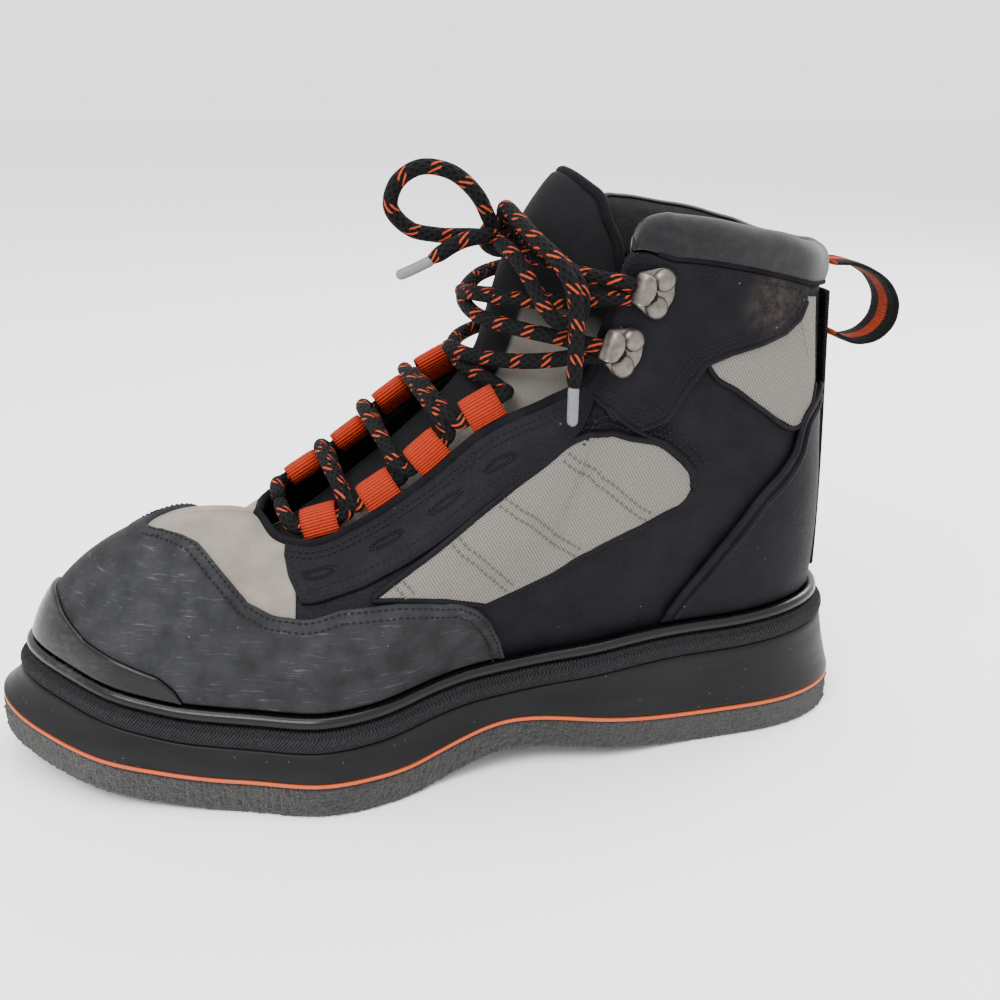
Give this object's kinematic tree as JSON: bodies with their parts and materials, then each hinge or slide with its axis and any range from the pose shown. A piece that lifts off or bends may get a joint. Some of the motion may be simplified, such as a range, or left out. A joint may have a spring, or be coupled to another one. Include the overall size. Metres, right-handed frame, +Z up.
{
  "type": "wading boot",
  "caption": "Left lace-up wading boot: felt outsole, thick midsole, hollow lasted upper, webbing lace loops, speed hooks, padded collar, bowed lace and heel pull loop.",
  "frame": {"origin": "on the floor under the flat of the heel", "axes": "toe toward -X, outer side toward -Y, +Z up from the floor"},
  "size_m": [0.3382, 0.1249, 0.2137],
  "materials": {
    "lace_tip": "grey",
    "upper_leather": "smooth black",
    "lace_cord": "braided with orange flecks",
    "collar_fabric": "brushed charcoal",
    "felt": "coarse speckled felt",
    "black_webbing": "ribbed webbing",
    "insole_fabric": "plain knit",
    "orange_webbing": "ribbed orange webbing",
    "midsole_rubber": "satin black",
    "hook_metal": "dull nickel",
    "bright_rubber": "satin orange",
    "gloss_rubber": "glossy black",
    "cap_leather": "matte charcoal",
    "tongue_leather": "matte black",
    "rough_rubber": "rough dark grey"
  },
  "bodies": {
    "root": {"aglet_left": "lace_tip", "aglet_right": "lace_tip", "ankle_wing_inner": "upper_leather", "ankle_wing_outer": "upper_leather", "bow_loop_left": "lace_cord", "bow_loop_right": "lace_cord", "collar": "collar_fabric", "eyestay_inner": "upper_leather", "eyestay_outer": "upper_leather", "felt_outsole": "felt", "heel_counter": "upper_leather", "heel_strip": "black_webbing", "insole": "insole_fabric", "lace_bar": "lace_cord", "lace_cross_1": "lace_cord", "lace_cross_2": "lace_cord", "lace_cross_3": "lace_cord", "lace_cross_4": "lace_cord", "lace_cross_5": "lace_cord", "lace_end_left": "lace_cord", "lace_end_right": "lace_cord", "lace_knot": "lace_cord", "lace_loop_inner_1": "orange_webbing", "lace_loop_inner_2": "orange_webbing", "lace_loop_inner_3": "orange_webbing", "lace_loop_inner_4": "orange_webbing", "lace_loop_outer_1": "orange_webbing", "lace_loop_outer_2": "orange_webbing", "lace_loop_outer_3": "orange_webbing", "lace_loop_outer_4": "orange_webbing", "lace_strand_inner": "lace_cord", "lace_strand_outer": "lace_cord", "midsole": "midsole_rubber", "pull_loop": "black_webbing", "rivet_inner_lower_low": "hook_metal", "rivet_inner_lower_top": "hook_metal", "rivet_inner_upper_low": "hook_metal", "rivet_inner_upper_top": "hook_metal", "rivet_outer_lower_low": "hook_metal", "rivet_outer_lower_top": "hook_metal", "rivet_outer_upper_low": "hook_metal", "rivet_outer_upper_top": "hook_metal", "sole_line": "bright_rubber", "speed_hook_inner_lower": "hook_metal", "speed_hook_inner_upper": "hook_metal", "speed_hook_outer_lower": "hook_metal", "speed_hook_outer_upper": "hook_metal", "toe_bumper": "gloss_rubber", "toe_cap": "cap_leather", "tongue": "tongue_leather", "upper": "upper_leather", "welt_piping": "gloss_rubber", "welt_strip": "rough_rubber"}
  },
  "joints": []
}
